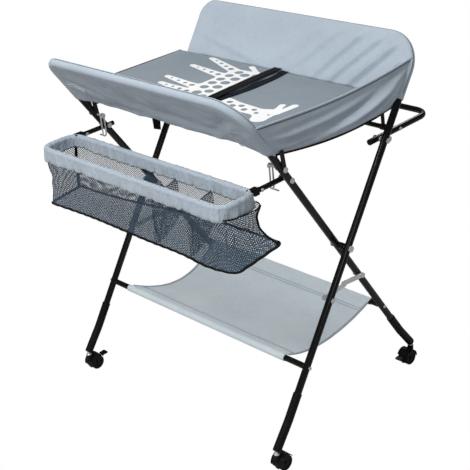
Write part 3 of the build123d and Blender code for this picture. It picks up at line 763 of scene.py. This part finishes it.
SPOTS = [
    (-0.098, 0.138, 0.012), (-0.066, 0.128, 0.013), (-0.102, 0.104, 0.012), (-0.066, 0.090, 0.013),
    (-0.102, 0.070, 0.012), (-0.068, 0.054, 0.013), (-0.100, 0.036, 0.012), (-0.062, 0.018, 0.013),
    (-0.094, 0.000, 0.012), (-0.058, -0.018, 0.012), (-0.080, -0.042, 0.013), (-0.046, -0.056, 0.012),
    (-0.020, -0.034, 0.010), (-0.012, -0.068, 0.011), (0.014, -0.046, 0.010), (0.034, -0.070, 0.009),
    (0.052, -0.050, 0.008), (0.076, -0.066, 0.009), (0.098, -0.054, 0.008), (0.122, -0.070, 0.008),
    (0.146, -0.058, 0.007), (0.166, -0.072, 0.006), (-0.090, -0.080, 0.007),
    (-0.140, 0.149, 0.008), (-0.170, 0.160, 0.006), (-0.200, 0.171, 0.005), (-0.230, 0.182, 0.004),
    (-0.140, 0.098, 0.008), (-0.172, 0.103, 0.006), (-0.206, 0.109, 0.005), (-0.238, 0.114, 0.004),
    (-0.136, -0.007, 0.008), (-0.168, -0.002, 0.006), (-0.200, 0.003, 0.005), (-0.232, 0.008, 0.004),
    (-0.114, -0.048, 0.008), (-0.144, -0.045, 0.006), (-0.174, -0.042, 0.005), (-0.204, -0.039, 0.004),
    (0.202, -0.066, 0.004),
]


def capsule(x, y, form):
    x0, y0, x1, y1, r0, r1 = form
    dx, dy = x1 - x0, y1 - y0
    t = max(0.0, min(1.0, ((x - x0) * dx + (y - y0) * dy) / (dx * dx + dy * dy)))
    return math.hypot(x - x0 - dx * t, y - y0 - dy * t) - mix(r0, r1, t)


def soft_min(a, b, blend=0.012):
    h = max(0.0, min(1.0, 0.5 + 0.5 * (b - a) / blend))
    return mix(b, a, h) - blend * h * (1 - h)


def animal_outline(x, y):
    """Signed distance to the print: below zero inside it."""
    value = 1.0
    for form in BODY_FORMS + LEG_FORMS + HEAD_FORMS:
        value = soft_min(value, capsule(x, y, form))
    for sx, sy, radius in SPOTS:
        value = max(value, radius - math.hypot((x - sx) * 0.9, y - sy))
    return value


def make_print(mats, height):
    """The print is a film on the cloth: a fine grid trimmed to the outline and laid on the pad."""
    cell = 2.5 * MM
    x0, x1, y0, y1 = -0.33, 0.262, -0.140, 0.212
    columns, rows = int((x1 - x0) / cell), int((y1 - y0) / cell)
    value = {}
    for i in range(columns + 1):
        for j in range(rows + 1):
            value[i, j] = animal_outline(x0 + i * cell, y0 + j * cell)
    index, verts, faces = {}, [], []

    def corner(i, j):
        if (i, j) not in index:
            x, y, d = x0 + i * cell, y0 + j * cell, value[i, j]
            if d > 0:  # pull an outside corner back onto the outline
                step = 0.3 * MM
                gx = (animal_outline(x + step, y) - animal_outline(x - step, y)) / (2 * step)
                gy = (animal_outline(x, y + step) - animal_outline(x, y - step)) / (2 * step)
                norm = max(math.hypot(gx, gy), 0.3)
                x, y = x - gx / norm * d, y - gy / norm * d
            index[i, j] = len(verts)
            verts.append(Vector((x, y, height(x, y) + 0.45 * MM)))
        return index[i, j]

    for i in range(columns):
        for j in range(rows):
            corners = ((i, j), (i + 1, j), (i + 1, j + 1), (i, j + 1))
            if sum(value[c] < 0 for c in corners) >= 2:
                faces.append(tuple(corner(*c) for c in corners))
    piece = new_object("printed_animal", verts, faces, mats["print"])
    dress(piece, "bed", "printed_cloth")


# --- straps ---
def strap_mesh(name, centre, half, thickness, material, count=70):
    """Flat webbing: centre(t) gives its middle line and half(t) the vector to its edge."""
    length = sum((centre((i + 1) / count) - centre(i / count)).length for i in range(count))
    piece = grid(name, 6, count, lambda u, v: centre(v) + half(v) * (2 * u - 1), material,
                 (2 * half(0.5).length, length))
    thicken(piece, thickness, 1.0)
    return piece, length


def make_straps(mats, height):
    def belt(t):
        y = mix(-0.200, 0.2135, t)
        x = mix(0.006, -0.018, t)
        return Vector((x, y, BED_TOP + 0.0042 + 0.002 * sin(pi * t) - 0.003 * (1 - smooth(t * 12))))

    piece, length = strap_mesh("safety_belt_strap", belt, lambda t: Vector((0.0140, 0, 0)), 0.0016,
                               mats["webbing"])
    dress_strap(piece, "safety_belt", "black_webbing")

    def loose(t):
        y = mix(0.2125, -0.060, t)
        x = 0.008 + 0.011 * sin(pi * t ** 0.8) + 0.006 * t
        wave = 0.0018 + 0.0006 * sin(5.2 * pi * t + 0.6) * smooth(t * 6) * smooth((1 - t) * 8)
        return Vector((x, y, height(x, min(y, 0.205)) + wave))

    def loose_half(t):
        tilt = radians(5) * sin(3.4 * pi * t)
        return Vector((0.0130 * cos(tilt), 0.0, 0.0130 * sin(tilt)))

    piece, length = strap_mesh("loose_strap_webbing", loose, loose_half, 0.0014, mats["navy"])
    dress_strap(piece, "loose_strap", "navy_webbing")

    low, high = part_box("pull_strap")
    centre = (low + high) / 2

    def pull(t):
        # down one side, round the bottom and up again
        angle = pi * (2 * t - 1)
        z = mix(low.z + 0.004, high.z, abs(2 * t - 1) ** 0.9)
        return Vector((centre.x, centre.y + 0.0032 * sin(angle), z))

    piece, length = strap_mesh("pull_strap_webbing", pull, lambda t: Vector((0.0115, 0.003, 0)), 0.0015,
                               mats["webbing"], 40)
    dress_strap(piece, "pull_strap", "black_webbing")


def dress_strap(piece, node, slot):
    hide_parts(node)
    apply_all(piece)
    dress(piece, "bed", slot)


# --- end wall ---
# soft diagonal folds: height at the front end, slope, half width, height of the fold
END_FOLDS = [(0.26, 0.45, 0.1, 0.013), (0.55, 0.32, 0.08, 0.008), (0.06, 0.95, 0.09, 0.0125),
             (-0.5, 1.30, 0.09, 0.013), (-1.00, 1.75, 0.08, 0.01)]


def end_wall_point(u, v):
    """The gusset at the right-hand end: u from front to back, v from bottom to top."""
    low_y = mix(-0.212, 0.236, u)
    low_z = mix(0.839, 0.829, u) - 0.018 * sin(pi * u)
    low_x = mix(0.352, 0.374, u)
    s_top = mix(0.494, 0.511, u)
    top_y = mix(on_leg(FORWARD, s_top)[0], on_leg(BACKWARD, s_top)[0], u)
    top_z = mix(on_leg(FORWARD, 0.494)[1], on_leg(BACKWARD, 0.511)[1], u) - 0.016 * sin(pi * u)
    top_x = mix(0.364, 0.385, smooth(u))
    bulge = 0.012 * sin(pi * v) * sin(pi * u) ** 0.5
    y = mix(low_y, top_y, v)
    z = mix(low_z, top_z, v)
    x = mix(low_x, top_x, v ** 0.8) + bulge
    fold = 0.0
    for v0, slope, wide, high in END_FOLDS:
        off = (v - v0 - slope * (u - 0.2)) / wide
        fold += high * (math.exp(-off * off) - 0.6 * math.exp(-(off - 1.7) ** 2))
    fold += 0.0018 * ripple((y, z * 2, 0), 22, 9.0)
    calm = smooth(v * 5) * smooth((1 - v) * 6) * smooth(u * 6) * smooth((1 - u) * 7)
    return Vector((x + fold * calm, y, z))


def make_end_wall(mats):
    wall = grid("end_wall_cover", 110, 34, end_wall_point, mats["grey"], (0.48, 0.115))
    thicken(wall, 2.4 * MM, 0.0)
    apply_all(wall)
    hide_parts("end_wall")

    def along(v, shift):
        return [end_wall_point(k / 100, v) + Vector(shift) for k in range(101)]

    piping = cord_mesh("end_wall_piping", along(1.0, (0.001, 0, 0.0012)), 2.4 * MM, mats["grey"])
    seam = cord_mesh("end_wall_seam", along(0.965, (0.0016, 0, 0)), 0.9 * MM, mats["seam"], sides=6)
    # thinner at its rear end, which clears the folded towel rack
    binding = cord_mesh("end_wall_binding", along(0.0, (0.001, 0, -0.001)), 4.0 * MM, mats["webbing"],
                        flat=0.7, thin_end=0.45)
    for piece, slot in ((wall, "grey_cloth"), (piping, "grey_cloth"),
                        (seam, "black_webbing"), (binding, "black_webbing")):
        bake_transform(piece)


# --- shelf ---
SHELF_HALF = 0.312
SHELF_SAG = 0.046
SLEEVE_WRAP = RAIL_R + 1.4 * MM


def shelf_section():
    """The cloth's path from front rail to back rail, sleeves included, as (y, z) points."""
    path = []

    def sleeve(rail_y, start, end):
        for k in range(15):
            angle = mix(radians(start), radians(end), k / 14)
            path.append((rail_y + SLEEVE_WRAP * cos(angle), SHELF_RAIL_Z + SLEEVE_WRAP * sin(angle)))

    sleeve(SHELF_FRONT_Y, -60, -270)
    for k in range(1, 40):
        t = k / 40
        if abs(t - 0.5) < 0.465:
            z = SHELF_RAIL_Z + SLEEVE_WRAP - 4 * SHELF_SAG * t * (1 - t) - 0.006 * sin(pi * t)
            path.append((mix(SHELF_FRONT_Y, SHELF_BACK_Y, t), z))
    sleeve(SHELF_BACK_Y, 90, -120)
    return path


def make_shelf(mats):
    last = 119  # rows of cloth between the two sleeves' ends
    section = resample([(0, y, z) for y, z in shelf_section()], last + 1)
    length = sum((b - a).length for a, b in zip(section, section[1:]))

    def place(u, v):
        p = section[min(last, round(v * last))]
        t = (p.y - SHELF_FRONT_Y) / (SHELF_BACK_Y - SHELF_FRONT_Y)
        inside = max(0.0, sin(pi * max(0.0, min(1.0, t))))
        half = SHELF_HALF - 0.020 * inside
        x = mix(-half, half, u)
        edge = 1 - smooth(min(u, 1 - u) / 0.08)
        sag = -0.004 * edge * inside - 0.006 * inside * sin(pi * u)
        soft = 0.0016 * ripple((x, p.y, 0), 8, 4.0) + 0.0007 * ripple((x, p.y * 2, 0), 24, 8.0)
        return Vector((x, p.y, p.z + sag + soft * inside))

    # the sling wears the panels' grey cloth painted lighter: painted light, not a paler fabric
    shelf = grid("shelf_sling", 96, last, place, mats["shelf"], (2 * SHELF_HALF, length))
    thicken(shelf, 1.3 * MM, 0.0)
    apply_all(shelf)
    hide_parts("shelf_cloth")
    pieces = [shelf]
    # stitched hems at both ends and the seams of the two sleeves
    for name, u in (("left", 0.0), ("right", 1.0)):
        hem = [place(u, k / last) + Vector((0, 0, 0.0006)) for k in range(14, 106)]
        pieces.append(cord_mesh(f"shelf_hem_{name}", hem, 4.6 * MM, mats["grey"], flat=0.42,
                                flat_axis=(0, 0, 1)))
    for name, start in (("front", SHELF_FRONT_Y + 0.038), ("back", SHELF_BACK_Y - 0.042)):
        row = min(range(14, 106), key=lambda k: abs(section[k].y - start))
        for k, shift in enumerate((0, 2)):
            line = [place(j / 90, (row + shift) / last) + Vector((0, 0, 0.0011)) for j in range(91)]
            pieces.append(cord_mesh(f"shelf_seam_{name}_{k}", line, 0.9 * MM, mats["grey"], sides=5))
    for piece in pieces:
        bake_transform(piece)


# --- basket ---
RIM_FRONT = RIM_LOW.y + RIM_R
RIM_BACK = RIM_HIGH.y - RIM_R
RIM_X = RIM_HIGH.x - RIM_R
RIM_CORNER = 0.032
BAND_DROP = 0.031
BAG_CORNER = 0.014


def rounded_loop(x_half, y_front, y_back, radius, count):
    """Points round a rounded rectangle, anticlockwise from the middle of the front."""
    corners = ((x_half, y_front, -90), (x_half, y_back, 0), (-x_half, y_back, 90), (-x_half, y_front, 180))
    points = [Vector((0, y_front, 0))]
    for x, y, start in corners:
        cx, cy = x - math.copysign(radius, x), y - math.copysign(radius, y - (y_front + y_back) / 2)
        for k in range(9):
            a = radians(start + 90 * k / 8)
            points.append(Vector((cx + radius * cos(a), cy + radius * sin(a), 0)))
    return resample(points, count, closed=True)


LOOP = 480


def rim_frame(loop, i):
    """Outward direction at point i of a loop."""
    along = (loop[(i + 1) % LOOP] - loop[i - 1]).normalized()
    return Vector((along.y, -along.x, 0))


def gather(p):
    """Uneven little tucks where the band is drawn in round the rim."""
    back = smooth((p.y - RIM_FRONT) / (RIM_BACK - RIM_FRONT))
    strength = mix(0.95, 1.45, back)
    lean = (p.x + 0.35 * p.z, p.y, 0)
    return strength * (0.0052 * ripple(lean, 62, 1.0) + 0.0036 * ripple(lean, 125, 6.0))


def make_band(mats):
    loop = rounded_loop(RIM_X, RIM_FRONT, RIM_BACK, RIM_CORNER, LOOP)
    wrap = RIM_R + 1.8 * MM
    profile = [(-wrap - 0.0012, -BAND_DROP * 0.9), (-wrap - 0.0005, -BAND_DROP * 0.45), (-wrap, -0.003)]
    profile += [(-wrap * cos(a), wrap * sin(a)) for a in [pi * k / 10 for k in range(11)]]
    profile += [(wrap, -0.003), (wrap + 0.0008, -BAND_DROP * 0.45), (wrap + 0.0014, -BAND_DROP * 0.8),
                (wrap + 0.0004, -BAND_DROP), (wrap - 0.002, -BAND_DROP - 0.0008)]

    def place(u, v):
        i = round(u * LOOP) % LOOP
        p, out = loop[i], rim_frame(loop, i)
        k = v * (len(profile) - 1)
        a, b = profile[int(k)], profile[min(int(k) + 1, len(profile) - 1)]
        r, z = mix(a[0], b[0], k - int(k)), mix(a[1], b[1], k - int(k))
        tuck = gather(p + Vector((0, 0, z)))
        low = smooth(-z / BAND_DROP)
        tuck = mix(max(tuck, -0.0008), tuck, low)  # the cloth can't sink into the rim
        r += tuck * (0.5 + 0.4 * low) * (1 if r > 0 else -1)
        drop = 0.004 * ripple((p.x, p.y, 0), 9, 3.0) * low
        return Vector((p.x, p.y, RIM_Z)) + out * r + Vector((0, 0, z + drop))

    band = grid("basket_band", LOOP, 3 * (len(profile) - 1), place, mats["band"], (1.8, 0.08), wrap=True)
    thicken(band, 1.0 * MM, 0.0)
    apply_all(band)
    dress(band, "basket", "grey_cloth")
    return loop


def bag_low_point(p):
    """Where the bag's wall meets its floor below point p of the rim's loop."""
    t = (p.x + RIM_X) / (2 * RIM_X)
    back = (p.y - RIM_FRONT) / (RIM_BACK - RIM_FRONT)
    front_z = mix(0.590, 0.602, t) + 0.010 * sin(2.3 * pi * t) * 0.4
    front_z -= 0.014 * math.exp(-((p.x - 0.27) / 0.07) ** 2)
    back_z = mix(0.602, 0.650, smooth(t * 1.05))
    x = p.x + 0.016 * math.copysign(smooth((abs(p.x) - 0.24) / 0.1), p.x)
    x += mix(0.008, 0.056, back) * smooth((p.x - 0.24) / 0.09)
    y = mix(RIM_FRONT + 0.008, RIM_BACK + 0.004, back)
    return Vector((x, y, mix(front_z, back_z, back)))


def make_bag(mats, loop):
    top_z = RIM_Z - BAND_DROP + 0.006
    low_loop = rounded_loop(RIM_X, RIM_FRONT, RIM_BACK, BAG_CORNER, LOOP)
    outline = [bag_low_point(p) for p in low_loop]
    rows = 22

    def wall(u, v):
        i = round(u * LOOP) % LOOP
        p, out = loop[i], rim_frame(loop, i)
        back = (p.y - RIM_FRONT) / (RIM_BACK - RIM_FRONT)
        right_end = smooth((p.x - 0.285) / 0.03)
        top = Vector((p.x, p.y, top_z)) + out * (RIM_R + 0.0015)
        top += Vector((0.024 * back * right_end, 0, 0.004 * back * right_end))
        low = outline[i]
        q = top.lerp(low, v)
        slack = 0.012 * sin(pi * v) * (0.7 + 0.5 * ripple((p.x, p.y, 0), 7, 3.0))
        wobble = 0.004 * ripple((p.x, p.y, v * 0.2), 22, 5.0) * sin(pi * v)
        curl = 0.015 * sin(pi * v) * right_end * back
        return q - out * (slack - wobble + curl)

    walls = grid("basket_net_walls", LOOP, rows, wall, mats["net"], (1.78, 0.145), wrap=True)
    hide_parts("basket_bag")

    def floor(u, v):
        x = mix(-RIM_X + 0.003, RIM_X - 0.003, u)
        front = bag_low_point(Vector((x, RIM_FRONT, 0)))
        back = bag_low_point(Vector((x, RIM_BACK, 0)))
        p = front.lerp(back, v)
        sag = 0.012 * sin(pi * v) * sin(pi * u) ** 0.4
        return p + Vector((0, 0, -sag + 0.0025 * ripple((p.x, p.y, 0), 14, 7.0)))

    base = grid("basket_floor", 110, 20, floor, mats["net_fine"], (0.72, 0.13))
    pieces = [(walls, "mesh_cloth"), (base, "mesh_cloth")]

    def bind(name, points, radius, material="webbing", **shape):
        pieces.append((cord_mesh(name, points, radius, mats[material], **shape), "black_webbing"))

    divider_low, divider_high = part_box("basket_dividers")
    for k, x in enumerate((divider_low.x + 0.0008, divider_high.x - 0.0008)):
        def divider(u, v, x=x):
            y = mix(RIM_FRONT + 0.004, RIM_BACK - 0.004, u)
            front, back = bag_low_point(Vector((x, RIM_FRONT, 0))), bag_low_point(Vector((x, RIM_BACK, 0)))
            low = mix(front.z, back.z, u) + 0.002 - 0.011 * sin(pi * u)
            high = RIM_Z - 0.020 - 0.010 * sin(pi * u)
            bow = 0.007 * sin(pi * v) * sin(pi * u)
            return Vector((x - 0.010 * (u - 0.5) + bow, y, mix(low, high, v)))

        sheet = grid(f"basket_divider_{k}", 26, 26, divider, mats["net"], (0.11, 0.13))
        if k == 0:
            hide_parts("basket_dividers")
        edge = [divider(j / 30, 1.0) for j in range(31)]
        pieces.append((sheet, "mesh_cloth"))
        bind(f"divider_binding_{k}", edge, 1.8 * MM, "seam")

    # black binding round the floor, up three corners and under the band at the right end
    bottom = [p + Vector((0, 0, 0.0006 * sin(i * 0.7))) for i, p in enumerate(outline)]
    bind("bottom_binding", bottom, 4.6 * MM, closed=True, flat=0.6, flat_axis=(0.2, 0.3, 1))
    for name, x, y, radius in (
        ("front_left", -RIM_X, RIM_FRONT, 1.4 * MM),
        ("rear_left", -RIM_X, RIM_BACK, 5.2 * MM),
        ("rear_right", RIM_X, RIM_BACK, 3.2 * MM),
    ):
        i = min(range(LOOP), key=lambda k: (loop[k] - Vector((x, y, 0))).length)
        line = [wall(i / LOOP, v / 30) for v in range(31)]
        bind(f"corner_binding_{name}", line, radius, flat=0.7)
    under = [wall(i / LOOP, 0.02) for i in range(LOOP) if loop[i].x > RIM_X - 0.03]
    bind("band_binding", under, 1.7 * MM, flat=0.7)
    for piece, slot in pieces:
        dress(piece, "basket", slot)


# --- small hardware dressing ---
def dress_nodes(mats):
    """Gives each CAD node that stays visible its finish, by how its name starts."""
    finish = {
        "tube": "inner_hoop outer_hoop inner_lower_legs outer_lower_legs inner_shelf_rail outer_shelf_rail"
                " bed_ring bed_crossbars latch_rail basket_rim basket_arms towel_rack",
        "bracket": "bed_hangers latch_links",
        "chrome": "pivot_bolts inner_rivets outer_rivets basket_bail rack_studs basket_studs caster_stem",
        "zinc": "rack_latches brace_",
        "plastic": "pivot_spacers basket_brackets rack_caps foot_sleeve caster_hood brake_lever",
        "rubber": "caster_wheels",
        "board": "bed_board",
    }
    for material, starts in finish.items():
        for name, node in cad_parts.items():
            if name.startswith(tuple(starts.split())):
                paint(node, mats[material])


def paint(node, material):
    node.data.materials.clear()
    node.data.materials.append(material)


# --- surroundings ---
AMBIENT = 0.44  # the world's strength as light
REFLECTED = 0.06  # its strength in glossy reflections
LIGHTS = (
    # name, place, aim, size, power
    ("key", (0.0, -1.9, 3.1), (0, 0, 0.6), 1.3, 66),
    ("side", (2.0, -1.8, 1.6), (0.2, 0, 0.7), 0.7, 4),
    ("rim", (-0.8, 2.4, 2.4), (0, 0, 0.7), 0.8, 12),
)


def make_surroundings():
    n = Nodes("pale_floor", 0.9)
    n.set(Base_Color=(0.36, 0.36, 0.37, 1))
    white = n.add("ShaderNodeEmission", Strength=1.0)
    blend = n.add("ShaderNodeMixShader")
    seen = n.add("ShaderNodeLightPath").outputs["Is Camera Ray"]
    for source, socket in zip((seen, n.shader.outputs[0], white.outputs[0]), blend.inputs):
        n.link(source, socket)
    n.link(blend.outputs[0], n.tree.nodes["Material Output"].inputs["Surface"])
    corners = [(-6, -6, 0), (6, -6, 0), (6, 6, 0), (-6, 6, 0)]
    new_object("floor", corners, [(0, 1, 2, 3)], n.material)

    world = bpy.data.worlds.new("studio")
    world.use_nodes = True
    tree = world.node_tree
    sky = tree.nodes["Background"]
    sky.inputs["Color"].default_value = (1, 1, 1, 1)
    # white behind the table, soft grey as ambient light, darker again in glossy reflections
    path = tree.nodes.new("ShaderNodeLightPath")
    reflected, strength = tree.nodes.new("ShaderNodeMapRange"), tree.nodes.new("ShaderNodeMix")
    tree.links.new(path.outputs["Is Glossy Ray"], reflected.inputs["Value"])
    reflected.inputs["To Min"].default_value = AMBIENT
    reflected.inputs["To Max"].default_value = REFLECTED
    tree.links.new(path.outputs["Is Camera Ray"], strength.inputs["Factor"])
    tree.links.new(reflected.outputs["Result"], strength.inputs["A"])
    strength.inputs["B"].default_value = 1.0
    tree.links.new(strength.outputs["Result"], sky.inputs["Strength"])
    bpy.context.scene.world = world
    bpy.context.scene.view_settings.view_transform = "Standard"
    for name, place, aim, size, power in LIGHTS:
        data = bpy.data.lights.new(name, "AREA")
        data.size = size
        data.energy = power
        light = bpy.data.objects.new(name, data)
        light.location = place
        light.rotation_euler = (Vector(aim) - Vector(place)).to_track_quat("-Z", "Y").to_euler()
        bpy.context.scene.collection.objects.link(light)


def main():
    make_camera()
    mats = make_materials()
    dress_nodes(mats)
    make_panels(mats)
    make_corner_stitching(mats)
    pad, flap = make_mattress(mats)
    height = surface_finder(pad, flap)
    make_print(mats, height)
    make_straps(mats, height)
    edge = [(PAD_LEFT + 0.001, mix(PAD_FRONT + 0.004, PAD_BACK - 0.004, k / 60), BED_TOP - 0.008)
            for k in range(61)]
    binding = cord_mesh("mattress_end_binding", edge, 4.2 * MM, mats["webbing"], flat=0.8)
    for piece, node in ((pad, "mattress"), (flap, "mattress_end")):
        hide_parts(node)
        dress(piece, "bed", "printed_cloth")
    dress(binding, "bed", "black_webbing")
    for piece in (flap, binding):
        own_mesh(piece)
    make_end_wall(mats)
    make_shelf(mats)
    loop = make_band(mats)
    make_bag(mats, loop)
    make_surroundings()


main()
